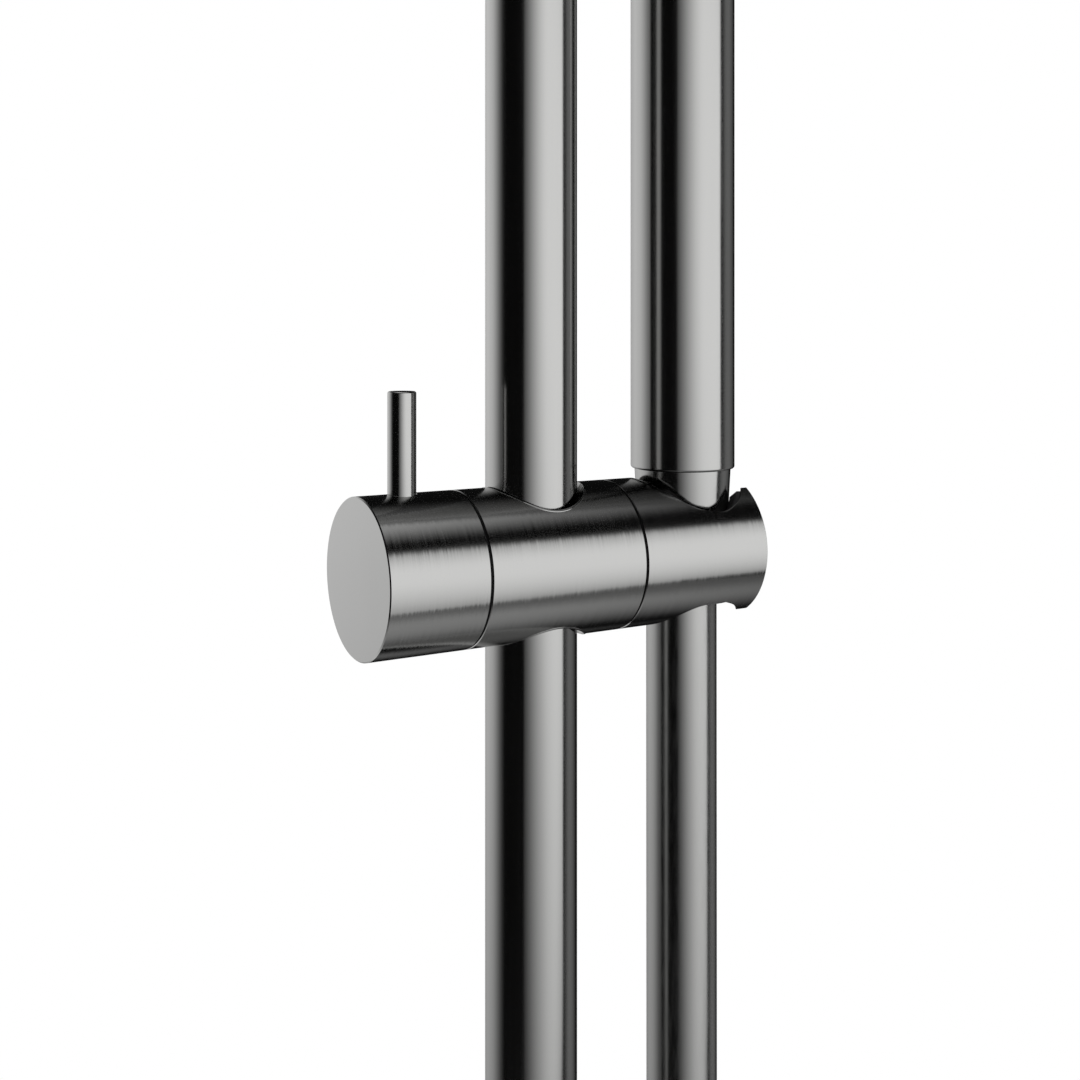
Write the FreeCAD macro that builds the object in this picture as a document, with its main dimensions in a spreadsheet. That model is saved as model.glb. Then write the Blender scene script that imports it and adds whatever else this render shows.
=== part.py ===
"""A round shower slide rail with its slider, stick hand shower and hose.

Millimetres. The origin lies in the wall plane, midway between the two wall fixings. X runs along the slider
towards the hand shower, Y runs into the wall and Z runs up the rail.
"""
import FreeCAD, Part
import math
import operator
import os
from types import SimpleNamespace

import Sketcher

SIZES = {
    # wall brackets
    "disc_diameter": 36.0,
    "disc_thickness": 5.0,
    "fixing_hole": 5.2,
    "screw_head": 10.4,
    "boss_diameter": 14.0,
    "boss_length": 15.0,
    "arm_diameter": 18.0,
    "grub_diameter": 4.0,
    "grub_distance": 14.0,  # from the wall
    "rosette_diameter": 40.0,
    "rosette_depth": 9.0,
    "rosette_wall": 1.5,
    # rail
    "rail_standoff": 55.0,  # from the wall to the rail's axis
    "rail_length": 660.0,
    "rail_overhang": 30.0,  # past each wall fixing
    "rail_diameter": 21.1,
    "rail_wall": 1.5,
    "cap_thickness": 3.0,
    "cap_spigot": 10.0,
    "anchor_length": 24.0,
    "stud_diameter": 6.0,
    "stud_inside": 5.0,  # past the rail's axis, into the anchor
    "stud_depth": 10.0,  # behind the rail, into the arm
    # slider, measured from the rail's axis
    "slider_height": 90.0,  # above the origin
    "slider_diameter": 35.15,
    "body_left": 19.2,
    "body_right": 20.12,
    "seam": 0.5,
    "end_bevel": 0.25,  # of the outer faces
    "rim_bevel": 0.12,  # of the seams and the openings
    "rail_bore": 23.0,
    "collar_wall": 0.5,  # of the sleeve that lines the bore
    "collar_lip": 0.25,  # how far it stands out of the barrel
    "bore_land": 22.0,  # narrower middle of the bore
    "land_height": 8.4,
    "bush_recess": 0.9,
    "washer_recess": 0.7,
    # clamp
    "knob_length": 23.25,
    "spindle_diameter": 8.0,
    "spindle_hold": 17.0,  # length inside the knob
    "pad_length": 3.0,
    "pad_travel": 0.35,  # room behind the pad
    "pin_diameter": 6.3,
    "pin_height": 22.35,  # above the knob
    "pin_inset": 10.5,  # from the knob's outer face
    "pin_round": 0.45,
    "flat_height": 3.0,
    # holder
    "holder_length": 34.68,
    "holder_offset": 42.9,  # from the rail's axis to the bore's axis
    "holder_bore": 26.76,  # diameter at the slider's axis
    "bore_taper": 0.043,  # growth of radius for each unit of height
    "seat_taper": 0.055,  # the same, of the insert and the cone nut
    "slot_width": 18.9,
    "insert_recess": 1.3,
    "insert_top": 14.6,
    "insert_foot": 11.8,  # below the slider's axis
    "insert_wall": 0.9,  # above the seat
    "seat_top": 8.0,
    "insert_lip": 0.15,  # how far its ends stand into the slot
    "pivot_diameter": 6.0,
    "pivot_depth": 7.8,
    "pivot_web": 3.6,
    "pivot_head": 10.0,
    "head_height": 3.6,
    "spring_thickness": 0.8,
    # hand shower
    "handset_diameter": 25.36,
    "handset_wall": 1.3,
    "handset_length": 208.0,
    "handset_lift": 19.42,  # from the slider's axis to its lower edge
    "handset_round": 0.6,
    "inlet_bore": 12.0,
    "inlet_flange": 8.0,
    "thread_diameter": 20.9,
    "thread_length": 7.1,
    "waterway_bore": 8.0,
    "waterway_wall": 1.5,
    "window_width": 11.0,
    "window_length": 78.0,
    "window_inset": 12.0,  # below the top of the tube
    "plate_back": 9.0,  # flat back of the spray plate, from the tube's axis
    "mat_thickness": 2.0,
    "mat_margin": 1.1,
    "nozzle_diameter": 2.0,
    "nozzle_stand": 0.9,
    "nozzle_spacing": 4.6,
    "nozzle_pitch": 5.2,
    "nozzle_rows": 14,
    # hose
    "nut_diameter": 23.46,
    "nut_length": 31.0,
    "nut_gap": 0.12,
    "nut_bevel": 0.15,
    "nut_thread_depth": 10.5,
    "seal_thickness": 2.0,
    "ferrule_flange": 1.5,
    "ferrule_collar": 4.6,
    "hose_diameter": 17.26,
    "hank_drop": 148.0,  # from the slider's axis to the hank's top
    "hank_gap": 0.35,  # room for the hose's cut end as the holder tilts
    "hank_run": 262.0,
    "hank_fold": 104.0,
    "last_fold": 128.0,
    "last_run": 55.0,
    "tie_height": 16.0,
    "tie_thickness": 2.0,
    "end_nut_flats": 24.0,
    "end_nut_length": 15.0,
    "end_nut_floor": 3.0,
    "end_seal_diameter": 19.0,
    # clearances
    "fit_gap": 0.05,
    "running_gap": 0.08,
    "slip_gap": 0.1,
}
WALL_ENDS = {"upper": 1, "lower": -1}

doc = FreeCAD.newDocument("ShowerSlideRail")
sheet = doc.addObject("Spreadsheet::Sheet", "Sizes")
for row, (alias, number) in enumerate(SIZES.items(), start=1):
    sheet.set(f"A{row}", alias.replace("_", " "))
    sheet.set(f"B{row}", str(number))
    sheet.setAlias(f"B{row}", alias)
doc.recompute()


class Size:
    """A length that carries its number and the sheet expression that gives it."""

    def __init__(self, value, text):
        self.value = float(value)
        self.text = text

    def __add__(self, other):
        return combine(operator.add, "+", self, other)

    def __radd__(self, other):
        return combine(operator.add, "+", other, self)

    def __sub__(self, other):
        return combine(operator.sub, "-", self, other)

    def __rsub__(self, other):
        return combine(operator.sub, "-", other, self)

    def __mul__(self, other):
        return combine(operator.mul, "*", self, other)

    def __rmul__(self, other):
        return combine(operator.mul, "*", other, self)

    def __truediv__(self, other):
        return combine(operator.truediv, "/", self, other)

    def __neg__(self):
        return Size(-self.value, f"(-{self.text})")


def as_size(number):
    return number if isinstance(number, Size) else Size(number, str(number))


def combine(operation, sign, left, right):
    left, right = as_size(left), as_size(right)
    return Size(operation(left.value, right.value), f"({left.text} {sign} {right.text})")


def root(size):
    return Size(math.sqrt(size.value), f"sqrt{size.text}")


def signed(sign, size):
    return size if sign > 0 else -size


size = SimpleNamespace(**{alias: Size(number, f"Sizes.{alias}") for alias, number in SIZES.items()})

# Sizes that follow from the driving ones
rail_radius = size.rail_diameter / 2
rail_inner = rail_radius - size.rail_wall
fixing_place = size.rail_length / 2 - size.rail_overhang  # each wall fixing, above or below the origin
slider_radius = size.slider_diameter / 2
bore_radius = size.rail_bore / 2
collar_radius = bore_radius + size.collar_wall
land_top = size.land_height / 2
bush_top = root(slider_radius * slider_radius - bore_radius * bore_radius) - size.bush_recess
knob_right = -(size.body_left + size.seam)
knob_left = knob_right - size.knob_length
pin_place = knob_left + size.pin_inset
spindle_radius = size.spindle_diameter / 2
pad_back = -(rail_radius + size.fit_gap + size.pad_length)
holder_left = size.body_right + size.seam
holder_right = holder_left + size.holder_length
pivot_radius = size.pivot_diameter / 2
pivot_seat = holder_left + size.pivot_web
handset_radius = size.handset_diameter / 2
handset_inner = handset_radius - size.handset_wall
handset_top = size.handset_lift + size.handset_length
window_top = handset_top - size.window_inset
window_middle = window_top - size.window_length / 2
housing_bottom = window_top - size.window_length - 8
nut_top = size.handset_lift - size.nut_gap
nut_bottom = nut_top - size.nut_length
nut_step = nut_top - size.nut_thread_depth
thread_radius = size.thread_diameter / 2
hose_radius = size.hose_diameter / 2
hose_start = nut_step - size.ferrule_collar
hose_passage = hose_radius + size.slip_gap
hank_top = -size.hank_drop
run_top = hank_top - size.hank_fold / 2 - hose_radius
run_bottom = run_top - size.hank_run


def bore_at(height):
    """Radius of the holder's tapered bore at a height above the slider's axis."""
    return size.holder_bore / 2 + size.bore_taper * height


def nut_at(height):
    """Outer radius of the hose's cone nut at a height above the slider's axis."""
    return size.nut_diameter / 2 - size.seat_taper * (nut_top - height)


def insert_bore_at(height):
    """Inner radius of the plastic insert, which carries the cone nut."""
    return nut_at(height) + size.slip_gap


# Sketching and modelling helpers

PADS_BACKWARD = {"down", "back", "left"}
CUTS_BACKWARD = {"up", "front", "right"}


def new_body(name, x=0, y=0, z=0):
    body = doc.addObject("PartDesign::Body", name)
    body.Label = name
    place(body, x, y, z)
    return body


def place(piece, x, y, z):
    for axis, number in zip("xyz", (x, y, z)):
        piece.setExpression(f"Placement.Base.{axis}", as_size(number).text)


def new_sketch(body, name, plane, offset=None, shift=None):
    """A sketch on one of the body's origin planes, moved along its normal by offset or along its own x by shift."""
    sketch = body.newObject("Sketcher::SketchObject", name)
    origin_plane = next(f for f in body.Origin.OriginFeatures if f.Role == plane)
    sketch.AttachmentSupport = (origin_plane, [""])
    sketch.MapMode = "FlatFace"
    if offset is not None:
        sketch.setExpression("AttachmentOffset.Base.z", as_size(offset).text)
    if shift is not None:
        sketch.setExpression("AttachmentOffset.Base.x", as_size(shift).text)
    return sketch


def fix_coordinate(sketch, kind, curve, point, number):
    """Ties one coordinate of a point to its expression, or puts the point on the axis where it is nought."""
    if number.value == 0:
        axis = -2 if kind == "DistanceX" else -1
        sketch.addConstraint(Sketcher.Constraint("PointOnObject", curve, point, axis))
        return
    index = sketch.addConstraint(Sketcher.Constraint(kind, -1, 1, curve, point, number.value))
    sketch.setExpression(f"Constraints[{index}]", number.text)


def towards(corner, neighbour, reach):
    """The point at a reach from a corner, along its axis-parallel side towards a neighbour."""
    u, v = corner
    du = as_size(neighbour[0]).value - u.value
    dv = as_size(neighbour[1]).value - v.value
    if abs(du) > abs(dv):
        return u + signed(du, reach), v
    return u, v + signed(dv, reach)


def outline_ends(points):
    """Each corner as one point, or as the two ends of its bevel or round. A round also keeps its radius."""
    ends = []
    for index, (u, v, *finish) in enumerate(points):
        corner = (as_size(u), as_size(v))
        if not finish:
            ends.append((corner, None, None))
            continue
        kind, reach = finish[0], as_size(finish[1])
        after = points[(index + 1) % len(points)]
        ends.append((towards(corner, points[index - 1], reach), reach if kind == "round" else None, corner))
        ends.append((towards(corner, after, reach), None, None))
    return ends


def flat_vector(point):
    return FreeCAD.Vector(point[0].value, point[1].value, 0)


def rounded_corner(start, corner, end, radius):
    centre = flat_vector(start) + flat_vector(end) - flat_vector(corner)
    middle = centre + (flat_vector(corner) - centre).normalize() * radius.value
    return Part.Arc(flat_vector(start), middle, flat_vector(end))


def draw_outline(sketch, points):
    """A closed outline through corners given as (u, v) or (u, v, "bevel" or "round", reach)."""
    ends = outline_ends(points)
    curves = []
    for index, (start, radius, corner) in enumerate(ends):
        end = ends[(index + 1) % len(ends)][0]
        if radius is None:
            curve = sketch.addGeometry(Part.LineSegment(flat_vector(start), flat_vector(end)), False)
            curves.append((curve, 1, 2))
            continue
        curve = sketch.addGeometry(rounded_corner(start, corner, end, radius), False)
        begins_here = sketch.getPoint(curve, 1).distanceToPoint(flat_vector(start)) < radius.value / 2
        curves.append((curve, 1, 2) if begins_here else (curve, 2, 1))
        constraint = sketch.addConstraint(Sketcher.Constraint("Radius", curve, radius.value))
        sketch.setExpression(f"Constraints[{constraint}]", radius.text)
    for index, (start, radius, corner) in enumerate(ends):
        curve, first, last = curves[index]
        previous, previous_first, previous_last = curves[index - 1]
        sketch.addConstraint(Sketcher.Constraint("Coincident", previous, previous_last, curve, first))
        fix_coordinate(sketch, "DistanceX", curve, first, start[0])
        fix_coordinate(sketch, "DistanceY", curve, first, start[1])


def draw_circle(sketch, u, v, radius):
    u, v, radius = as_size(u), as_size(v), as_size(radius)
    centre = FreeCAD.Vector(u.value, v.value, 0)
    curve = sketch.addGeometry(Part.Circle(centre, FreeCAD.Vector(0, 0, 1), radius.value), False)
    constraint = sketch.addConstraint(Sketcher.Constraint("Radius", curve, radius.value))
    sketch.setExpression(f"Constraints[{constraint}]", radius.text)
    fix_coordinate(sketch, "DistanceX", curve, 3, u)
    fix_coordinate(sketch, "DistanceY", curve, 3, v)


def rectangle(left, right, low, high, *finish):
    return [(left, low, *finish), (right, low, *finish), (right, high, *finish), (left, high, *finish)]


def hexagon(across_flats):
    half = across_flats / 2
    corner = across_flats / math.sqrt(3)
    return [(half, corner / 2), (0, corner), (-half, corner / 2), (-half, -corner / 2), (0, -corner),
            (half, -corner / 2)]


def solid_volume(body):
    doc.recompute()
    return body.Shape.Volume if not body.Shape.isNull() else 0.0


def finish_feature(body, before, adds):
    """Stops where a feature changed nothing, as one that points the wrong way does."""
    change = solid_volume(body) - before
    if (change if adds else -change) < 1e-6:
        raise ValueError(f"a feature of {body.Label} changed nothing")


def turn(body, name, points, along="Z", cut=False, shift=None):
    """Turns an outline of (distance along the axis, radius) about the body's X, Y or Z."""
    before = solid_volume(body)
    sketch = new_sketch(body, f"{name}_outline", "YZ_Plane" if along == "Y" else "XZ_Plane", shift=shift)
    if along == "Z":
        points = [(radius, distance, *finish) for distance, radius, *finish in points]
    draw_outline(sketch, points)
    feature = body.newObject("PartDesign::Groove" if cut else "PartDesign::Revolution", name)
    feature.Profile = sketch
    feature.ReferenceAxis = (sketch, ["V_Axis" if along == "Z" else "H_Axis"])
    feature.Angle = 360
    finish_feature(body, before, adds=not cut)
    return feature


def extrude(body, name, plane, shapes, direction=None, depth=None, offset=None, add=False):
    """Pads or pockets circles and outlines drawn on a plane, one way or both ways, through all or to a depth."""
    before = solid_volume(body)
    sketch = new_sketch(body, f"{name}_outline", plane, offset=offset)
    for shape in shapes:
        if isinstance(shape, tuple):
            draw_circle(sketch, *shape)
        else:
            draw_outline(sketch, shape)
    feature = body.newObject("PartDesign::Pad" if add else "PartDesign::Pocket", name)
    feature.Profile = sketch
    if depth is None:
        feature.Type = "ThroughAll"
    else:
        feature.setExpression("Length", as_size(depth).text)
    if direction is None:
        feature.SideType = "Symmetric"
    feature.Reversed = direction in (PADS_BACKWARD if add else CUTS_BACKWARD)
    finish_feature(body, before, adds=add)
    return feature, sketch


def repeat_along(body, name, feature, sketch, length, count):
    """Repeats a feature along its sketch's upright axis."""
    before = solid_volume(body)
    pattern = body.newObject("PartDesign::LinearPattern", name)
    pattern.Originals = [feature]
    pattern.Direction = (sketch, ["V_Axis"])
    pattern.setExpression("Length", length.text)
    pattern.setExpression("Occurrences", count.text)
    body.Tip = pattern
    if abs(solid_volume(body) - before) < 1e-6:
        raise ValueError(f"the pattern of {body.Label} repeats nothing")


def bevel_edges(body, name, reach, belongs):
    """Bevels the edges whose every sampled point satisfies a test."""
    doc.recompute()
    base = body.Tip
    found = []
    for number, edge in enumerate(base.Shape.Edges, start=1):
        first, last = edge.ParameterRange
        samples = [edge.valueAt(first + (last - first) * part) for part in (0.1, 0.35, 0.6, 0.85)]
        if all(belongs(point) for point in samples):
            found.append(f"Edge{number}")
    feature = body.newObject("PartDesign::Chamfer", name)
    feature.Base = (base, found)
    feature.setExpression("Size", reach.text)
    doc.recompute()


def on_slider_surface(point):
    """Whether a point of a body drawn about the slider's axis lies on its outer cylinder."""
    return abs(math.hypot(point.y, point.z) - slider_radius.value) < 1e-3


# Wall brackets and rail


def wall_disc(end, sign):
    body = new_body(f"{end}_wall_disc", z=signed(sign, fixing_place))
    hole, head = size.fixing_hole / 2, size.screw_head / 2
    face, tip = -size.disc_thickness, -(size.disc_thickness + size.boss_length)
    turn(body, "disc", [
        (0, hole), (0, size.disc_diameter / 2), (face, size.disc_diameter / 2, "bevel", 0.5),
        (face, size.boss_diameter / 2), (tip, size.boss_diameter / 2, "bevel", 0.4), (tip, head),
        (face, head), (face + (head - hole), hole),
    ], along="Y")
    extrude(body, "grub_seat", "XY_Plane", [(0, -size.grub_distance, size.grub_diameter / 2 + size.fit_gap)], "down")
    return body


def bracket_arm(end, sign):
    """A turned arm over the disc's boss, with a saddle that fits the rail's back."""
    body = new_body(f"{end}_bracket_arm", z=signed(sign, fixing_place))
    arm, bore = size.arm_diameter / 2, size.boss_diameter / 2 + size.fit_gap
    foot = -(size.disc_thickness + size.fit_gap)
    floor = -(size.disc_thickness + size.boss_length + 1)
    turn(body, "arm", [
        (foot, bore), (foot, arm), (-size.rail_standoff, arm), (-size.rail_standoff, 0), (floor, 0), (floor, bore),
    ], along="Y")
    extrude(body, "saddle", "XY_Plane", [(0, -size.rail_standoff, rail_radius + size.fit_gap)])
    extrude(body, "stud_thread", "XZ_Plane", [(0, 0, size.stud_diameter / 2 + size.fit_gap)], "front")
    extrude(body, "grub_thread", "XY_Plane",
            [(0, -size.grub_distance, size.grub_diameter / 2 + size.fit_gap)], "down")
    return body


def rosette(end, sign):
    """A cup that hides the wall disc and slips over the arm."""
    body = new_body(f"{end}_rosette", z=signed(sign, fixing_place))
    outer = size.rosette_diameter / 2
    inner, neck = outer - size.rosette_wall, size.arm_diameter / 2 + size.slip_gap
    front, back = -size.rosette_depth, -(size.rosette_depth - size.rosette_wall)
    turn(body, "cup", [
        (0, inner), (0, outer), (front, outer, "round", 1.2), (front, neck, "bevel", 0.3), (back, neck), (back, inner),
    ], along="Y")
    return body


def grub_screw(end, sign):
    body = new_body(f"{end}_grub_screw", y=-size.grub_distance, z=signed(sign, fixing_place))
    thread = size.grub_diameter / 2
    foot, tip = -(size.arm_diameter / 2 - 0.2), -(size.screw_head / 2 + size.slip_gap)
    turn(body, "thread", [(foot, 0), (foot, thread, "bevel", 0.3), (tip, thread, "bevel", 0.3), (tip, 0)])
    extrude(body, "socket", "XY_Plane", [hexagon(size.grub_diameter / 2)], "up", size.grub_diameter / 2.5, offset=foot)
    return body


def rail_tube():
    body = new_body("rail_tube", y=-size.rail_standoff)
    end = size.rail_length / 2
    turn(body, "tube", rectangle(-end, end, rail_inner, rail_radius))
    hole = size.stud_diameter / 2 + size.slip_gap
    extrude(body, "stud_holes", "XZ_Plane",
            [(0, signed(sign, fixing_place), hole) for sign in WALL_ENDS.values()], "back")
    return body


def rail_cap(end, sign):
    body = new_body(f"{end}_rail_cap", y=-size.rail_standoff, z=signed(sign, size.rail_length / 2))
    foot, face = signed(-sign, size.cap_spigot), signed(sign, size.cap_thickness)
    spigot = rail_inner - size.fit_gap
    turn(body, "cap", [
        (foot, 0), (foot, spigot, "bevel", 0.5), (0, spigot), (0, rail_radius), (face, rail_radius, "round", 0.8),
        (face, 0),
    ])
    return body


def rail_anchor(end, sign):
    """A threaded slug inside the tube that the arm's stud pulls on."""
    body = new_body(f"{end}_rail_anchor", y=-size.rail_standoff, z=signed(sign, fixing_place))
    half, radius = size.anchor_length / 2, rail_inner - size.fit_gap
    turn(body, "slug", [(-half, 0), (-half, radius, "bevel", 0.6), (half, radius, "bevel", 0.6), (half, 0)])
    extrude(body, "thread", "XZ_Plane", [(0, 0, size.stud_diameter / 2 + size.fit_gap)])
    return body


def arm_stud(end, sign):
    body = new_body(f"{end}_arm_stud", y=-size.rail_standoff, z=signed(sign, fixing_place))
    front, back, radius = -size.stud_inside, rail_radius + size.stud_depth, size.stud_diameter / 2
    turn(body, "stud", [(front, 0), (front, radius, "bevel", 0.5), (back, radius, "bevel", 0.5), (back, 0)], along="Y")
    return body


# Slider and clamp


def slider_piece(name, x=0):
    return new_body(name, x=x, y=-size.rail_standoff, z=size.slider_height)


def guide_bush(end, sign):
    body = slider_piece(f"{end}_guide_bush")
    low, high = signed(sign, land_top + size.slip_gap), signed(sign, bush_top)
    turn(body, "bush", rectangle(low, high, rail_radius + size.running_gap, bore_radius - size.fit_gap))
    return body


def slider_body():
    body = slider_piece("slider_body")
    left, right = -size.body_left, size.body_right
    turn(body, "barrel", [
        (left, 0), (left, slider_radius, "bevel", size.rim_bevel), (right, slider_radius, "bevel", size.rim_bevel),
        (right, 0),
    ], along="X")
    skin = slider_radius + size.collar_lip
    extrude(body, "collar", "XY_Plane", [(0, 0, collar_radius)], depth=skin * 2 + 2, add=True)
    turn(body, "collar_ends", rectangle(-collar_radius - 1, collar_radius + 1, skin, skin + 6), along="X", cut=True)
    extrude(body, "rail_way", "XY_Plane", [(0, 0, size.bore_land / 2)])
    extrude(body, "upper_bush_seat", "XY_Plane", [(0, 0, bore_radius)], "up", offset=land_top)
    extrude(body, "lower_bush_seat", "XY_Plane", [(0, 0, bore_radius)], "down", offset=-land_top)
    extrude(body, "spindle_thread", "YZ_Plane", [(0, 0, spindle_radius + size.fit_gap)], "left")
    extrude(body, "pivot_thread", "YZ_Plane", [(0, 0, pivot_radius + size.fit_gap)], "left", size.pivot_depth,
            offset=right)
    return body


def clamp_pad():
    """A plug that the spindle presses on the rail, with a hollow end that fits the tube."""
    body = slider_piece("clamp_pad")
    radius = spindle_radius - size.fit_gap
    turn(body, "plug", [(pad_back, 0), (pad_back, radius, "bevel", 0.3), (0, radius), (0, 0)], along="X")
    extrude(body, "hollow", "XY_Plane", [(0, 0, rail_radius + size.fit_gap)])
    return body


def seam_washer(name, start, hole):
    """A thin plastic washer in a seam, set back from the outside."""
    body = slider_piece(name)
    low, high = start + size.fit_gap, start + size.seam - size.fit_gap
    turn(body, "ring", rectangle(low, high, hole, slider_radius - size.washer_recess), along="X")
    return body


def clamp_knob():
    body = slider_piece("clamp_knob")
    turn(body, "barrel", [
        (knob_left, 0), (knob_left, slider_radius, "bevel", size.end_bevel),
        (knob_right, slider_radius, "bevel", size.rim_bevel), (knob_right, 0),
    ], along="X")
    extrude(body, "spindle_bore", "YZ_Plane", [(0, 0, spindle_radius + size.fit_gap)], "left",
            size.spindle_hold + size.slip_gap, offset=knob_right)
    extrude(body, "pin_hole", "XY_Plane", [(pin_place, 0, size.pin_diameter / 2 + size.fit_gap)], "up")
    return body


def clamp_spindle():
    """A threaded spindle held in the knob by the lever pin, which stands on its flat."""
    body = slider_piece("clamp_spindle")
    tail, tip = knob_right - size.spindle_hold, pad_back - size.pad_travel
    turn(body, "spindle", [
        (tail, 0), (tail, spindle_radius, "bevel", 0.5), (tip, spindle_radius, "bevel", 0.5), (tip, 0),
    ], along="X")
    half_flat = size.pin_diameter / 2 + 0.6
    extrude(body, "flat", "XZ_Plane",
            [rectangle(pin_place - half_flat, pin_place + half_flat, size.flat_height, spindle_radius + 1)])
    return body


def lever_pin():
    body = slider_piece("lever_pin", x=pin_place)
    radius = size.pin_diameter / 2
    foot, top = size.flat_height + size.fit_gap, slider_radius + size.pin_height
    turn(body, "pin", [(foot, 0), (foot, radius, "bevel", 0.4), (top, radius, "round", size.pin_round), (top, 0)])
    return body


# Holder


def pivot_screw():
    """The screw that the holder tilts on, its head sunk behind the insert."""
    body = slider_piece("pivot_screw")
    tip = size.body_right - size.pivot_depth + 0.4
    seat = pivot_seat + size.spring_thickness
    end = seat + size.head_height
    turn(body, "screw", [
        (tip, 0), (tip, pivot_radius, "bevel", 0.5), (seat, pivot_radius), (seat, size.pivot_head / 2),
        (end, size.pivot_head / 2, "bevel", 0.4), (end, 0),
    ], along="X")
    extrude(body, "socket", "YZ_Plane", [hexagon(size.pivot_head * 0.4)], "left", size.head_height * 0.6, offset=end)
    return body


def pivot_spring():
    body = slider_piece("pivot_spring_washer")
    low, high = pivot_seat + size.fit_gap, pivot_seat + size.spring_thickness - size.fit_gap
    turn(body, "ring", rectangle(low, high, pivot_radius + size.fit_gap, size.pivot_head / 2), along="X")
    return body


def holder_body():
    """The right-hand barrel: a tapered upright bore, open through a slot in its end face."""
    body = slider_piece("holder_body")
    turn(body, "barrel", [
        (holder_left, 0), (holder_left, slider_radius, "bevel", size.rim_bevel),
        (holder_right, slider_radius, "bevel", size.end_bevel), (holder_right, 0),
    ], along="X")
    past = slider_radius + 1
    turn(body, "seat_bore", [(-past, 0), (-past, bore_at(-past)), (past, bore_at(past)), (past, 0)], cut=True,
         shift=size.holder_offset)
    half_slot = size.slot_width / 2
    extrude(body, "hose_slot", "XY_Plane", [rectangle(size.holder_offset, holder_right + 5, -half_slot, half_slot)])
    extrude(body, "pivot_hole", "YZ_Plane", [(0, 0, pivot_radius + size.running_gap)], "right",
            size.pivot_web + 1, offset=holder_left)
    extrude(body, "head_recess", "YZ_Plane", [(0, 0, size.pivot_head / 2 + size.slip_gap)], "right",
            size.holder_offset - pivot_seat, offset=pivot_seat)

    def on_rim(point):
        across = math.hypot(point.x - size.holder_offset.value, point.y)
        on_bore = abs(across - bore_at(0).value - size.bore_taper.value * point.z) < 1e-3
        on_slot = abs(abs(point.y) - half_slot.value) < 1e-3 and point.x > size.holder_offset.value
        return on_slider_surface(point) and (on_bore or on_slot)

    bevel_edges(body, "bore_rims", size.rim_bevel, on_rim)
    return body


def holder_insert():
    """The plastic liner of the holder's bore: a tapered C, thin above the seat that carries the cone nut."""
    body = slider_piece("holder_insert")
    low, high, foot = -size.insert_foot, size.insert_top, size.seat_top

    def outer(height):
        return bore_at(height) - size.fit_gap

    def thin(height):
        return outer(height) - size.insert_wall

    funnel = foot + (thin(foot) - insert_bore_at(foot))
    turn(body, "liner", [
        (low, insert_bore_at(low)), (low, outer(low)), (high, outer(high)), (high, thin(high)),
        (funnel, thin(funnel)), (foot, insert_bore_at(foot)),
    ], shift=size.holder_offset)
    skin = slider_radius - size.insert_recess
    turn(body, "crest", rectangle(holder_left, holder_right + 5, skin, slider_radius + 5), along="X", cut=True)
    half_slot = size.slot_width / 2 - size.insert_lip
    extrude(body, "hose_slot", "XY_Plane", [rectangle(size.holder_offset, holder_right + 5, -half_slot, half_slot)])
    return body


# Hand shower


def docked_piece(name):
    return slider_piece(name, x=size.holder_offset)


def window(width, length):
    half = width / 2
    return rectangle(-half, half, window_middle - length / 2, window_middle + length / 2, "round", half * 0.98)


def handset_tube():
    body = docked_piece("handset_tube")
    turn(body, "tube", [
        (size.handset_lift, handset_inner), (size.handset_lift, handset_radius, "round", size.handset_round),
        (handset_top, handset_radius), (handset_top, handset_inner),
    ])
    extrude(body, "spray_window", "XZ_Plane", [window(size.window_width, size.window_length)], "front")
    return body


def handset_cap():
    body = docked_piece("handset_cap")
    foot, face = handset_top - size.cap_spigot / 2, handset_top + size.cap_thickness
    spigot = handset_inner - size.fit_gap
    turn(body, "cap", [
        (foot, 0), (foot, spigot, "bevel", 0.5), (handset_top, spigot), (handset_top, handset_radius),
        (face, handset_radius, "round", 0.8), (face, 0),
    ])
    return body


def handset_inlet():
    """The threaded spigot that closes the tube's lower end and takes the hose's nut."""
    body = docked_piece("handset_inlet")
    bore, lift = size.inlet_bore / 2, size.handset_lift
    foot, top = lift - size.thread_length, lift + size.inlet_flange
    turn(body, "spigot", [
        (foot, bore), (foot, thread_radius, "bevel", 0.6), (lift, thread_radius),
        (lift, handset_inner - size.fit_gap), (top, handset_inner - size.fit_gap), (top, bore),
    ])
    return body


def handset_waterway():
    body = docked_piece("handset_waterway")
    low, high = size.handset_lift + size.inlet_flange, housing_bottom
    bore = size.waterway_bore / 2
    turn(body, "pipe", rectangle(low, high, bore, bore + size.waterway_wall))
    return body


def spray_housing():
    """The chamber behind the spray plate, fed from below."""
    body = docked_piece("spray_housing")
    outer, bore = handset_inner - size.fit_gap, size.waterway_bore / 2
    top = handset_top - size.cap_spigot / 2
    roof = window_middle + size.window_length * 0.4
    turn(body, "plug", [(housing_bottom, bore), (housing_bottom, outer), (top, outer), (top, 0), (roof, 0), (roof, bore)])
    floor = size.plate_back - size.mat_thickness
    margin = size.mat_margin + size.slip_gap
    extrude(body, "mat_seat", "XZ_Plane", [window(size.window_width + 2 * margin, size.window_length + 2 * margin)],
            "front", offset=floor)
    extrude(body, "chamber", "XZ_Plane", [window(size.window_width * 0.7, size.window_length * 0.85)],
            "front")
    return body


def nozzle_pair(radius):
    first = window_middle - size.nozzle_pitch * (size.nozzle_rows - 1) / 2
    half = size.nozzle_spacing / 2
    return [(-half, first, radius), (half, first, radius)]


def nozzle_run():
    return size.nozzle_pitch * (size.nozzle_rows - 1)


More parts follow.
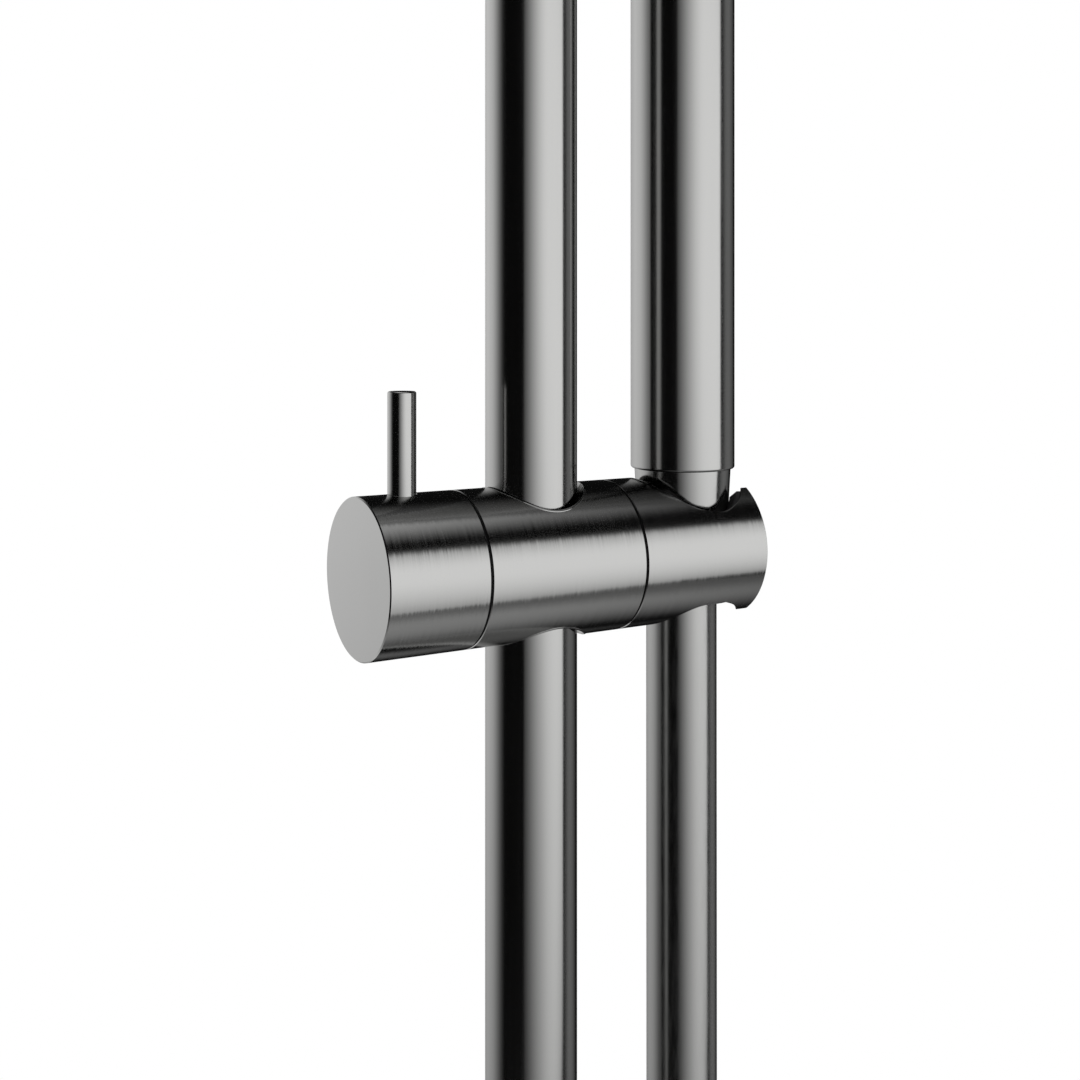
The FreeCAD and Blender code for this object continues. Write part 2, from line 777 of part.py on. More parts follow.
def spray_plate():
    """The plate that fills the tube's window, flush with its outside and drilled for the nozzles."""
    body = docked_piece("spray_plate")
    clear = 2 * size.slip_gap
    extrude(body, "plate", "XZ_Plane", [window(size.window_width - clear, size.window_length - clear)], "front",
            handset_radius - size.plate_back + 1, offset=size.plate_back, add=True)
    turn(body, "outside", rectangle(window_middle - size.window_length, handset_top, handset_radius,
                                    handset_radius + 5), cut=True)
    holes, sketch = extrude(body, "nozzle_holes", "XZ_Plane",
                            nozzle_pair(size.nozzle_diameter / 2 + size.slip_gap), "front")
    repeat_along(body, "nozzle_hole_rows", holes, sketch, nozzle_run(), size.nozzle_rows)
    return body


def nozzle_mat():
    """A soft mat behind the plate, whose nozzles stand out through the plate's holes."""
    body = docked_piece("nozzle_mat")
    back = size.plate_back - size.mat_thickness
    margin = 2 * size.mat_margin
    extrude(body, "mat", "XZ_Plane", [window(size.window_width + margin, size.window_length + margin)], "front",
            size.mat_thickness - size.fit_gap, offset=back, add=True)
    reach = handset_radius + size.nozzle_stand - back
    nozzles, sketch = extrude(body, "nozzles", "XZ_Plane", nozzle_pair(size.nozzle_diameter / 2), "front", reach,
                              offset=back, add=True)
    repeat_along(body, "nozzle_rows", nozzles, sketch, nozzle_run(), size.nozzle_rows)
    return body


# Hose


def hose_cone_nut():
    body = docked_piece("hose_cone_nut")
    edge = size.nut_bevel
    bore = thread_radius + size.fit_gap
    turn(body, "cone", [
        (nut_bottom, hose_passage), (nut_bottom, nut_at(nut_bottom)), (nut_top - edge, nut_at(nut_top - edge)),
        (nut_top, nut_at(nut_top) - edge), (nut_top, bore), (nut_step, bore), (nut_step, hose_passage),
    ])
    return body


def hose_ferrule():
    body = docked_piece("hose_ferrule")
    top, bore = nut_step + size.ferrule_flange, size.inlet_bore / 2 - 1
    turn(body, "ferrule", [
        (hose_start, bore), (hose_start, hose_passage - size.fit_gap), (nut_step, hose_passage - size.fit_gap),
        (nut_step, thread_radius - size.fit_gap), (top, thread_radius - size.fit_gap), (top, bore),
    ])
    return body


def hose_seal():
    body = docked_piece("hose_seal")
    low = nut_step + size.ferrule_flange
    high = size.handset_lift - size.thread_length
    turn(body, "ring", rectangle(low, high, size.inlet_bore / 2, thread_radius - size.slip_gap))
    return body


def hose_tube():
    """The hose's straight drop, from the ferrule to the hank."""
    body = docked_piece("hose_tube")
    turn(body, "drop", rectangle(hank_top + size.hank_gap, hose_start, 0, hose_radius))
    return body


def racetrack(width, low, high):
    """A closed outline of two upright sides joined by half rounds, its rear side at half the hose's width."""
    front, back, middle, radius = -width, 0.0, -width / 2, width / 2
    corners = [FreeCAD.Vector(0, y, z) for y, z in ((back, high), (front, high), (front, low), (back, low))]
    top, bottom = FreeCAD.Vector(0, middle, high + radius), FreeCAD.Vector(0, middle, low - radius)
    return Part.Wire([
        Part.Arc(corners[0], top, corners[1]).toShape(),
        Part.LineSegment(corners[1], corners[2]).toShape(),
        Part.Arc(corners[2], bottom, corners[3]).toShape(),
        Part.LineSegment(corners[3], corners[0]).toShape(),
    ])


def turn_of_hose(fold, low, high, thickness):
    """One flat turn of the hank: the ring between two racetracks, a hose's width apart."""
    half = thickness / 2
    outer = Part.Face(racetrack(fold + thickness, low, high))
    inner = Part.Face(racetrack(fold - thickness, low, high))
    outer.translate(FreeCAD.Vector(-half, half, 0))
    inner.translate(FreeCAD.Vector(-half, -half, 0))
    return outer.cut(inner).extrude(FreeCAD.Vector(thickness, 0, 0))


def slab(x, y, low, high, thickness):
    """An upright length of one run, drawn square."""
    half = thickness / 2
    corner = FreeCAD.Vector(x - half, y - half, low)
    return Part.makeBox(thickness, thickness, high - low, corner)


def hose_hank():
    """The outer shape of the spare hose: a full turn, and beside it a run, a fold and a short upright end."""
    thick = size.hose_diameter.value
    fold, last = size.hank_fold.value, size.last_fold.value
    high, low, top = run_top.value, run_bottom.value, hank_top.value
    first_turn = turn_of_hose(fold, low, high, thick).fuse(slab(0, 0, high, top, thick))
    second_turn = turn_of_hose(last, low, high, thick)
    keep = Part.makeBox(thick, 2 * last, high - low + last, FreeCAD.Vector(-thick / 2, -1.5 * last, low - last))
    drop_front = Part.makeBox(thick, last, high - low, FreeCAD.Vector(-thick / 2, -1.5 * last, low + size.last_run.value))
    second_turn = second_turn.common(keep).cut(drop_front)
    second_turn.translate(FreeCAD.Vector(thick, 0, 0))
    piece = doc.addObject("Part::Feature", "hose_hank")
    piece.Label = "hose_hank"
    piece.Shape = first_turn.fuse(second_turn).removeSplitter()
    place(piece, size.holder_offset, -size.rail_standoff, size.slider_height)
    return piece


def hank_tie(name, y_front, y_back, middle):
    """A strap around two neighbouring runs, drawn as a square band."""
    gap, wall = size.slip_gap, size.tie_thickness
    left, right = -(hose_radius + gap), size.hose_diameter + hose_radius + gap
    front, back = y_front - hose_radius - gap, y_back + hose_radius + gap
    body = new_body(name, size.holder_offset, -size.rail_standoff, size.slider_height + middle)
    extrude(body, "band", "XY_Plane", [rectangle(left - wall, right + wall, front - wall, back + wall, "round", 1.5)],
            depth=size.tie_height, add=True)
    extrude(body, "opening", "XY_Plane", [rectangle(left, right, front, back)])
    return body


def hose_end_nut():
    """The plain hexagon nut on the hose's other end."""
    body = new_body("hose_end_nut", size.holder_offset + size.hose_diameter, -(size.rail_standoff + size.last_fold),
                    size.slider_height + run_bottom + size.last_run)
    extrude(body, "hexagon", "XY_Plane", [hexagon(size.end_nut_flats)], "up", size.end_nut_length, add=True)
    rim = size.end_nut_flats / 2 + 0.2
    corner = size.end_nut_flats * 0.65
    for sign, level in ((1, size.end_nut_length), (-1, as_size(0))):
        turn(body, "upper_rim" if sign > 0 else "lower_rim", [
            (level, rim), (level + signed(sign, size.fit_gap), rim), (level + signed(sign, size.fit_gap), corner),
            (level - signed(sign, (corner - rim) / 2), corner),
        ], cut=True)
    extrude(body, "thread", "XY_Plane", [(0, 0, thread_radius + size.fit_gap)], "up",
            offset=size.end_nut_floor + size.seal_thickness)
    extrude(body, "seal_seat", "XY_Plane", [(0, 0, size.end_seal_diameter / 2 + size.fit_gap)], "up",
            offset=size.end_nut_floor)
    extrude(body, "way", "XY_Plane", [(0, 0, size.inlet_bore / 2 - 1)])
    return body


def hose_end_seal():
    body = new_body("hose_end_seal", size.holder_offset + size.hose_diameter, -(size.rail_standoff + size.last_fold),
                    size.slider_height + run_bottom + size.last_run + size.end_nut_floor)
    turn(body, "ring", rectangle(0, size.seal_thickness, size.inlet_bore / 2, size.end_seal_diameter / 2))
    return body


def all_pieces():
    pieces = [rail_tube()]
    for end, sign in WALL_ENDS.items():
        pieces += [wall_disc(end, sign), bracket_arm(end, sign), rosette(end, sign), grub_screw(end, sign),
                   rail_cap(end, sign), rail_anchor(end, sign), arm_stud(end, sign), guide_bush(end, sign)]
    pieces += [slider_body(), clamp_pad(), clamp_knob(), clamp_spindle(), lever_pin()]
    pieces += [seam_washer("knob_washer", knob_right, spindle_radius + size.slip_gap),
               seam_washer("tilt_washer", size.body_right, pivot_radius + size.slip_gap)]
    pieces += [pivot_screw(), pivot_spring(), holder_body(), holder_insert()]
    pieces += [handset_tube(), handset_cap(), handset_inlet(), handset_waterway(), spray_housing(), spray_plate(),
               nozzle_mat()]
    pieces += [hose_cone_nut(), hose_ferrule(), hose_seal(), hose_tube(), hose_hank()]
    rear_tie = hank_tie("rear_hank_tie", as_size(0), as_size(0), (run_top + run_bottom) / 2)
    front_tie = hank_tie("front_hank_tie", -size.last_fold, -size.hank_fold, run_bottom + size.last_run / 2)
    return pieces + [rear_tie, front_tie, hose_end_nut(), hose_end_seal()]


def report_hose():
    """Prints the folds' radii, and the straight drop's volume against its section times its length."""
    length = hose_start.value - (hank_top + size.hank_gap).value
    volume = doc.getObject("hose_tube").Shape.Volume
    print(f"fold radii {size.hank_fold.value / 2:.1f} and {size.last_fold.value / 2:.1f} mm")
    print(f"hose drop {volume:.1f} of {math.pi * hose_radius.value ** 2 * length:.1f} cubic mm")


def check(pieces):
    doc.recompute()
    for thing in doc.Objects:
        if {"Invalid", "Error"} & set(thing.State):
            raise ValueError(f"{thing.Label} is {thing.State}")
    for piece in pieces:
        if piece.Shape.isNull() or not piece.Shape.isValid() or not piece.Shape.Solids:
            raise ValueError(f"{piece.Label} has no valid solid")


pieces = all_pieces()
check(pieces)
os.makedirs("parts", exist_ok=True)
for piece in pieces:
    piece.Shape.exportStep(f"parts/{piece.Label}.step")
report_hose()
print(f"{len(pieces)} pieces written")
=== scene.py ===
"""Looks for a gunmetal shower slide rail with its barrel slider, stick hand shower and smooth hose.

Shapes are written in millimetres from the slider's axis on the rail, and placed in the row frame in metres.
"""
import math

import bmesh
import bpy
from mathutils import Matrix, Vector

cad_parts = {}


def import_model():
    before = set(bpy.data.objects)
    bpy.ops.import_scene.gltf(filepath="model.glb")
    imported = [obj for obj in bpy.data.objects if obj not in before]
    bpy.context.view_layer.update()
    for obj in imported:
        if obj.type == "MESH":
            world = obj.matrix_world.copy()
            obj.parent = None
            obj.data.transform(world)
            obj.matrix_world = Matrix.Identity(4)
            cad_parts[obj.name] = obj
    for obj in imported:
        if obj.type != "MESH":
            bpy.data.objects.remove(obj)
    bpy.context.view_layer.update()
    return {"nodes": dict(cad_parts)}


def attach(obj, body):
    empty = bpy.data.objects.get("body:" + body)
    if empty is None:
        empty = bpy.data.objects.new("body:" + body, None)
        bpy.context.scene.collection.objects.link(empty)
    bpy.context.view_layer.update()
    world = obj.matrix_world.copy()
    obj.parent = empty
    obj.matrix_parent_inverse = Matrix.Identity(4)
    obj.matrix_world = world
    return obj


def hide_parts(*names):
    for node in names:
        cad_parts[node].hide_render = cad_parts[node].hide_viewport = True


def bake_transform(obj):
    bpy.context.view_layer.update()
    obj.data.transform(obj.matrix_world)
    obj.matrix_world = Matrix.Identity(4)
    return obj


MM = 0.001
SLIDER = Vector((0, -55, 90))  # where the slider's axis crosses the rail's, in mm
TO_ROW = Matrix.Translation(SLIDER * MM) @ Matrix.Scale(MM, 4)

# Sizes in mm, the same as the solids' to a tenth. Round things go by their radius, and lengths along an axis run
# from the slider's axis.
BARREL = 17.575
RAIL = 10.55
RAIL_ENDS = (-420, 240)
FIXINGS = {"upper": 210, "lower": -390}
WALL = 55
END_EDGE = 0.25
RIM_EDGE = 0.15
KNOB_FACES = (-42.95, -19.7)
BODY_FACES = (-19.2, 20.12)
HOLDER_FACES = (20.62, 55.3)
HOLDER_AXIS = 42.9
SLOT = 9.45  # half its width
PIN_AXIS = -32.45
PIN = 3.15
PIN_TOP = 39.92
SPINDLE = 4
PIVOT = 3
STUD = 3
GRUB_SCREW = 2
FIT = 0.05  # room around what a hole holds
HANDSET = 12.68
HANDSET_ENDS = (19.42, 227.42)
WINDOW = (5.5, 137.42, 215.42)  # half its width, its foot and its top
NUT_ENDS = (-11.7, 19.38)
NUT_TOP = 11.73
NUT_TAPER = 0.055  # how much its radius grows for each millimetre of height
HOSE = 8.63
HANK_FOLDS = (104, 128)  # how far forward the runs of each turn lie
HANK_PLANES = (HOLDER_AXIS, 60.7)  # X of its first turn, and of its second, half a millimetre beyond the solid's

# The rims that the photograph shows on the barrel, which lie a little off the solids' axes
SLEEVE_CENTRE = (0.55, -0.1)
SLEEVE = (11.6, 11.95)  # its inner and outer radius
SLEEVE_CREST = 17.69
SEAT_CENTRE = (42.6, -0.55)
SEAT = 13.42
SEAT_TAPER = 0.043
SEAT_SWELL = [(57, 9, 0.25), (96, 14, -0.45)]  # degrees away from the slot, their spread, and the swell in mm

CAMERA_TURN = -30.34  # degrees about the upright, from looking square at the wall


def linear(hex_colour):
    """An sRGB hex colour as linear RGBA."""
    parts = [int(hex_colour[i:i + 2], 16) / 255 for i in (1, 3, 5)]
    return [c / 12.92 if c <= 0.04045 else ((c + 0.055) / 1.055) ** 2.4 for c in parts] + [1.0]


# Node trees


def add(tree, kind, inputs=None, **settings):
    """A node with its settings, and its inputs set from numbers or linked from sockets."""
    node = tree.nodes.new(kind)
    for name, value in settings.items():
        setattr(node, name, value)
    for name, value in (inputs or {}).items():
        if isinstance(value, bpy.types.NodeSocket):
            tree.links.new(value, node.inputs[name])
        else:
            node.inputs[name].default_value = value
    return node


def math_node(tree, operation, *values):
    return add(tree, "ShaderNodeMath", dict(enumerate(values)), operation=operation).outputs[0]


def product(tree, first, *others):
    for other in others:
        first = math_node(tree, "MULTIPLY", first, other)
    return first


def total(tree, first, *others):
    for other in others:
        first = math_node(tree, "ADD", first, other)
    return first


def remainder(tree, share):
    """What is left of one after a share is taken."""
    return math_node(tree, "SUBTRACT", 1.0, share)


def fade(tree, value, start, end):
    """Nought where the value is start and one where it is end, smoothly between them."""
    node = add(tree, "ShaderNodeMapRange", {"Value": value, "From Min": start, "From Max": end},
               interpolation_type="SMOOTHSTEP")
    return node.outputs["Result"]


# Studio


def white_surround():
    """A white world for every ray, at the strength where a colour renders as it is written."""
    world = bpy.data.worlds.new("white_surround")
    world.use_nodes = True
    tree = world.node_tree
    tree.nodes.clear()
    background = add(tree, "ShaderNodeBackground", {"Color": (1, 1, 1, 1), "Strength": 1.0})
    add(tree, "ShaderNodeOutputWorld", {"Surface": background.outputs[0]})
    world.cycles.sampling_method = "NONE"
    bpy.context.scene.world = world


def studio_cards():
    """The cards that only gloss shows, painted on a far ball by direction, with black between them.

    The bearing is in degrees to the right of the camera's side, and the level in degrees above the horizon. The
    cards' places and strengths were fitted to where the photograph's surfaces reflect light and dark.
    """
    far = 30000
    tilts = [-90 + 7.5 * k for k in range(25)]
    outline = [(far * math.sin(math.radians(a)), far * math.cos(math.radians(a)) if abs(a) < 90 else 0) for a in tilts]
    cards = show("studio_cards", turned_mesh("studio_cards", "Z", Vector(), outline, 64))
    material = bpy.data.materials.new("studio_card_light")
    material.use_nodes = True
    tree = material.node_tree
    tree.nodes.clear()
    place = add(tree, "ShaderNodeTexCoord").outputs["Object"]
    direction = add(tree, "ShaderNodeVectorMath", {0: place}, operation="NORMALIZE").outputs[0]
    facing = math.radians(270 + CAMERA_TURN)
    toward = add(tree, "ShaderNodeVectorMath", {0: direction, 1: (math.cos(facing), math.sin(facing), 0)},
                 operation="DOT_PRODUCT").outputs["Value"]
    aside = add(tree, "ShaderNodeVectorMath", {0: direction, 1: (-math.sin(facing), math.cos(facing), 0)},
                operation="DOT_PRODUCT").outputs["Value"]
    height = add(tree, "ShaderNodeSeparateXYZ", {0: direction}).outputs["Z"]
    bearing = math_node(tree, "DEGREES", math_node(tree, "ARCTAN2", aside, toward))
    level = math_node(tree, "DEGREES", math_node(tree, "ARCSINE", height))

    # A large flat soft box at the front right: its upper and lower edges are heights on its own plane
    key_normal = facing + math.radians(30)
    ahead = add(tree, "ShaderNodeVectorMath", {0: direction, 1: (math.cos(key_normal), math.sin(key_normal), 0)},
                operation="DOT_PRODUCT").outputs["Value"]
    rise = math_node(tree, "DIVIDE", height, math_node(tree, "MAXIMUM", ahead, 0.01))
    shade = product(tree, fade(tree, bearing, 70, 20), fade(tree, level, 5, -22), 0.3)
    key = product(tree, fade(tree, bearing, -30, 45), fade(tree, bearing, -18.5, -15), fade(tree, bearing, 87.5, 84.5),
                  fade(tree, rise, 1.4, 0.2), fade(tree, rise, 0.96, 0.7), fade(tree, rise, -1.7, 0),
                  fade(tree, rise, -1, -0.85), remainder(tree, shade), 2.15)

    # A long panel on the left, weaker towards its far end and its foot, and a weak one on the right
    turned_away = product(tree, fade(tree, bearing, -130, -162), 0.42)
    darker_below = product(tree, fade(tree, level, 3, -36), 0.5)
    left = product(tree, fade(tree, bearing, -68, -118), fade(tree, bearing, -173, -167), fade(tree, level, 44, 18),
                   remainder(tree, turned_away), remainder(tree, darker_below), 1.43)
    right = product(tree, fade(tree, bearing, 88, 108), fade(tree, bearing, 152, 112), fade(tree, level, 40, 25),
                    fade(tree, level, -37, -33), 0.34)

    # A ceiling light, a pale cove along the foot of the front and the sides, and a strip of floor behind
    dimmer = product(tree, fade(tree, bearing, 102, 120), 0.78)
    ceiling = product(tree, fade(tree, level, 45, 78), remainder(tree, dimmer), 1.3)
    cove = product(tree, total(tree, product(tree, fade(tree, level, -34, -37), 0.23),
                               product(tree, fade(tree, level, -38, -54), 0.43)),
                   fade(tree, bearing, 165, 70), fade(tree, bearing, 165, 140), fade(tree, bearing, -170, -120))
    behind = product(tree, fade(tree, level, -30, -52),
                     fade(tree, math_node(tree, "ABSOLUTE", bearing), 160, 175), 0.22)

    black = 0.008
    room = total(tree, key, left, right, ceiling, cove, behind, black)
    light = add(tree, "ShaderNodeEmission", {"Color": (1, 1, 1, 1), "Strength": room})
    add(tree, "ShaderNodeOutputMaterial", {"Surface": light.outputs[0]})
    material.cycles.emission_sampling = "NONE"
    cards.data.materials.append(material)
    for ray in ("camera", "diffuse", "transmission", "volume_scatter", "shadow"):
        setattr(cards, f"visible_{ray}", False)


def photo_camera():
    """The camera that was fitted to the photograph's outlines: level, with a shift."""
    data = bpy.data.cameras.new("photo_camera")
    data.lens = 44.97
    data.sensor_width = 36
    data.shift_y = -0.1984
    camera = bpy.data.objects.new("photo_camera", data)
    camera.location = (SLIDER + Vector((-154.68, -268.33, 54.16))) * MM
    camera.rotation_euler = (math.radians(90), 0, math.radians(CAMERA_TURN))
    bpy.context.scene.collection.objects.link(camera)
    bpy.context.scene.camera = camera


# Materials


def new_material(name):
    material = bpy.data.materials.new(name)
    material.use_nodes = True
    tree = material.node_tree
    tree.nodes.clear()
    shader = add(tree, "ShaderNodeBsdfPrincipled")
    add(tree, "ShaderNodeOutputMaterial", {"Surface": shader.outputs[0]})
    return material, tree, shader


def grained(name, colour, metallic, gloss, grain_mm, detail=2.0, lean=0.0):
    """A finish whose roughness runs between two values by a grain with a size in mm along each axis. With a lean, the
    grain also tips the surface about the X axis, as scratches around a turned piece do."""
    material, tree, shader = new_material(name)
    shader.inputs["Base Color"].default_value = linear(colour)
    shader.inputs["Metallic"].default_value = metallic
    place = add(tree, "ShaderNodeTexCoord").outputs["Object"]
    density = [1 / (size * MM) for size in grain_mm]
    scaled = add(tree, "ShaderNodeMapping", {"Vector": place, "Scale": density}).outputs[0]
    grain = add(tree, "ShaderNodeTexNoise", {"Vector": scaled, "Scale": 1.0, "Detail": detail}).outputs["Fac"]
    rough = add(tree, "ShaderNodeMapRange", {"Value": grain, "From Min": 0.3, "From Max": 0.7, "To Min": gloss[0],
                                             "To Max": gloss[1]}).outputs["Result"]
    tree.links.new(rough, shader.inputs["Roughness"])
    if lean:
        normal = add(tree, "ShaderNodeNewGeometry").outputs["Normal"]
        axis = add(tree, "ShaderNodeVectorTransform", {"Vector": (1, 0, 0)}, vector_type="VECTOR",
                   convert_from="OBJECT", convert_to="WORLD").outputs[0]
        around = add(tree, "ShaderNodeVectorMath", {0: normal, 1: axis}, operation="CROSS_PRODUCT").outputs[0]
        tip = product(tree, math_node(tree, "SUBTRACT", grain, 0.5), lean)
        tipped = add(tree, "ShaderNodeVectorMath", {0: around, "Scale": tip}, operation="SCALE").outputs[0]
        tipped = add(tree, "ShaderNodeVectorMath", {0: normal, 1: tipped}, operation="ADD").outputs[0]
        tipped = add(tree, "ShaderNodeVectorMath", {0: tipped}, operation="NORMALIZE").outputs[0]
        tree.links.new(tipped, shader.inputs["Normal"])
    return material


def all_finishes():
    """Each finish, from its colour, whether it is metal, its least and greatest roughness and its grain in mm.

    Real polishing lines, turning marks and moulded grain are too fine to show, so each grain is drawn coarser.
    """
    return {
        # Stainless tube under a dark vapour-deposited coat, polished lengthwise: nearly a mirror, with faint long lines
        "tube": grained("gunmetal_polished_tube", "#8E8E8D", 1.0, (0.12, 0.17), (0.6, 0.6, 40)),
        # Brass under the same coat, turned and brushed: scratches around the axis fray the edges of each reflection.
        # They are drawn about 0.3 mm wide, coarser than the real ones.
        "barrel": grained("gunmetal_brushed_barrel", "#8E8E8D", 1.0, (0.11, 0.18), (0.3, 18, 18), 2.0, 0.075),
        # Brass under the same coat, finely turned: an even satin gloss
        "turned": grained("gunmetal_turned_brass", "#8E8E8D", 1.0, (0.12, 0.18), (0.6, 0.6, 0.6)),
        # Acetal, moulded: nearly black with a soft sheen
        "acetal": grained("acetal_black_moulded", "#1B1B1C", 0.0, (0.35, 0.5), (0.4, 0.4, 0.4)),
        # ABS, moulded: dark grey and slightly dull
        "abs": grained("abs_dark_moulded", "#262627", 0.0, (0.4, 0.55), (0.4, 0.4, 0.4)),
        # Silicone, moulded: grey and matt
        "silicone": grained("silicone_grey_moulded", "#4A4A4B", 0.0, (0.5, 0.65), (0.5, 0.5, 0.5)),
        # Nitrile rubber: black and dull
        "rubber": grained("nitrile_rubber_black", "#1A1A1A", 0.0, (0.6, 0.75), (0.5, 0.5, 0.5)),
        # Brass, turned and left bare: warm yellow
        "brass": grained("brass_turned_bare", "#C3A060", 1.0, (0.2, 0.32), (0.5, 0.5, 0.5)),
        # Stainless screw stock: bright grey
        "stainless": grained("stainless_bright_screw", "#B5B4B1", 1.0, (0.2, 0.32), (0.5, 0.5, 0.5)),
        # PVC hose with a metallised layer under its clear skin: smooth, and softer in its gloss than the metal
        "hose": grained("pvc_gunmetal_smooth_hose", "#8A8A89", 1.0, (0.16, 0.24), (0.8, 0.8, 6)),
        # Nylon strap, woven: black and dull
        "strap": grained("nylon_black_strap", "#1C1C1D", 0.0, (0.45, 0.6), (0.3, 0.3, 0.3)),
    }


# Mesh building


def rounded_outline(corners, steps=6):
    """The outline through corners (along, radius) or (along, radius, rounding), with each rounding drawn as an arc."""
    outline = []
    count = len(corners)
    for i, corner in enumerate(corners):
        here = Vector(corner[:2])
        if len(corner) == 2:
            outline.append(here)
            continue
        back = (Vector(corners[i - 1][:2]) - here).normalized()
        ahead = (Vector(corners[(i + 1) % count][:2]) - here).normalized()
        half = back.angle(ahead) / 2
        radius = corner[2]
        centre = here + (back + ahead).normalized() * radius / math.sin(half)
        start = here + back * radius / math.tan(half) - centre
        end = here + ahead * radius / math.tan(half) - centre
        turn = start.angle(end)
        for k in range(steps + 1):
            share = k / steps
            outline.append(centre + (start * math.sin((1 - share) * turn) + end * math.sin(share * turn))
                           / math.sin(turn))
    return outline


def spun_point(axis, along, radius, angle):
    c, s = radius * math.cos(angle), radius * math.sin(angle)
    return {"X": Vector((along, c, s)), "Y": Vector((s, along, c)), "Z": Vector((c, s, along))}[axis]


def lofted_mesh(name, rings, closed=False, capped=False):
    """Quads between rings of as many points each, joined end to end or capped where asked."""
    work = bmesh.new()
    loops = []
    for ring in rings:
        if (ring[0] - ring[1]).length < 1e-6:
            loops.append([work.verts.new(ring[0])] * len(ring))
        else:
            loops.append([work.verts.new(point) for point in ring])
    for low, high in list(zip(loops, loops[1:])) + ([(loops[-1], loops[0])] if closed else []):
        for k in range(len(low)):
            after = (k + 1) % len(low)
            corners = list(dict.fromkeys((low[k], low[after], high[after], high[k])))
            if len(corners) > 2:
                work.faces.new(corners)
    if capped:
        work.faces.new(loops[0])
        work.faces.new(reversed(loops[-1]))
        bmesh.ops.triangulate(work, faces=work.faces)
    bmesh.ops.recalc_face_normals(work, faces=work.faces)
    mesh = bpy.data.meshes.new(name)
    work.to_mesh(mesh)
    work.free()
    return mesh


def turned_mesh(name, axis, at, corners, sides=192, hollow=False):
    """A turned piece: an outline of (along, radius), spun about an axis through at."""
    rings = [[at + spun_point(axis, along, radius, 2 * math.pi * k / sides) for k in range(sides)]
             for along, radius in rounded_outline(corners)]
    return lofted_mesh(name, rings, closed=hollow)


def show(name, mesh, sharp=30):
    """An object from a mesh in millimetres about the slider, smooth but for edges past an angle."""
    mesh.transform(TO_ROW)
    if sharp is not None:
        mesh.shade_smooth()
        mesh.set_sharp_from_angle(angle=math.radians(sharp))
    piece = bpy.data.objects.new(name, mesh)
    bpy.context.scene.collection.objects.link(piece)
    return piece


def carved(mesh, cutters):
    """The mesh after each cutter is taken from it."""
    whole = bpy.data.objects.new("carved", mesh)
    bpy.context.scene.collection.objects.link(whole)
    for cutter in cutters:
        tool = bpy.data.objects.new("cutter", cutter)
        bpy.context.scene.collection.objects.link(tool)
        step = whole.modifiers.new("cut", "BOOLEAN")
        step.operation = "DIFFERENCE"
        step.solver = "EXACT"
        step.object = tool
        whole.data = bpy.data.meshes.new_from_object(whole.evaluated_get(bpy.context.evaluated_depsgraph_get()))
        whole.modifiers.clear()
        bpy.data.objects.remove(tool)
    mesh = whole.data
    bpy.data.objects.remove(whole)
    return mesh


def keyhole(centre, radius, slot, reach, arc_steps=160, side_steps=12):
    """Plan points of a round hole, or, where slot is half a slot's width, of the holder's: swollen and open to +X."""
    x0, y0 = centre
    start, turn = 0.0, 2 * math.pi
    if slot is not None:
        start = math.asin((slot - y0) / radius)
        turn = 2 * math.pi - start - math.asin((slot + y0) / radius)
    angles = [start + turn * k / arc_steps for k in range(arc_steps if slot is None else arc_steps + 1)]
    points = []
    for a in angles:
        away = math.degrees(min(a, 2 * math.pi - a))
        out = 0.0 if slot is None else sum(swell * math.exp(-((away - middle) / spread) ** 2)
                                           for middle, spread, swell in SEAT_SWELL)
        points.append(Vector((x0 + (radius + out) * math.cos(a), y0 + (radius + out) * math.sin(a))))
    if slot is not None:
        near, far = points[-1].x, points[0].x
        points += [Vector((near + (reach - near) * k / side_steps, -slot)) for k in range(1, side_steps + 1)]
        points += [Vector((reach + (far - reach) * k / side_steps, slot)) for k in range(side_steps)]
    return points


def flared_hole(name, centre, radius_at, slot, reach, edge, through=True):
    """A cutter for an upright hole in the barrel, whose rims flare so that the cut leaves a bevel along them."""
    far, flare = 30.0, 2.0

    def ring(radius, height, out):
        plan = keyhole(centre, radius + out, None if slot is None else slot + out, reach)
        return [Vector((p.x, p.y, height(p.y))) for p in plan]

    def rim(sign, lower):
        return lambda y: sign * (math.sqrt(BARREL ** 2 - min(abs(y), BARREL - 0.01) ** 2) - lower)

    top, foot = radius_at(13), radius_at(-13)
    rings = [ring(top, lambda y: far, flare), ring(top, rim(1, edge - flare), flare), ring(top, rim(1, edge), 0)]
    if through:
        rings += [ring(foot, rim(-1, edge), 0), ring(foot, rim(-1, edge - flare), flare),
                  ring(foot, lambda y: -far, flare)]
    else:
        rings.append(ring(radius_at(0), lambda y: 3.0, 0))
    return lofted_mesh(name, rings, capped=True)


def upright_wall(centre, radius_at):
    """The inner wall of an upright hole: its distance test and its normal."""
    x0, y0 = centre
    return (lambda p: math.hypot(p.x - x0, p.y - y0) - radius_at(p.z),
            lambda p: Vector((x0 - p.x, y0 - p.y, 0)).normalized())


BARREL_WALL = (lambda p: math.hypot(p.y, p.z) - BARREL, lambda p: Vector((0, p.y, p.z)).normalized())


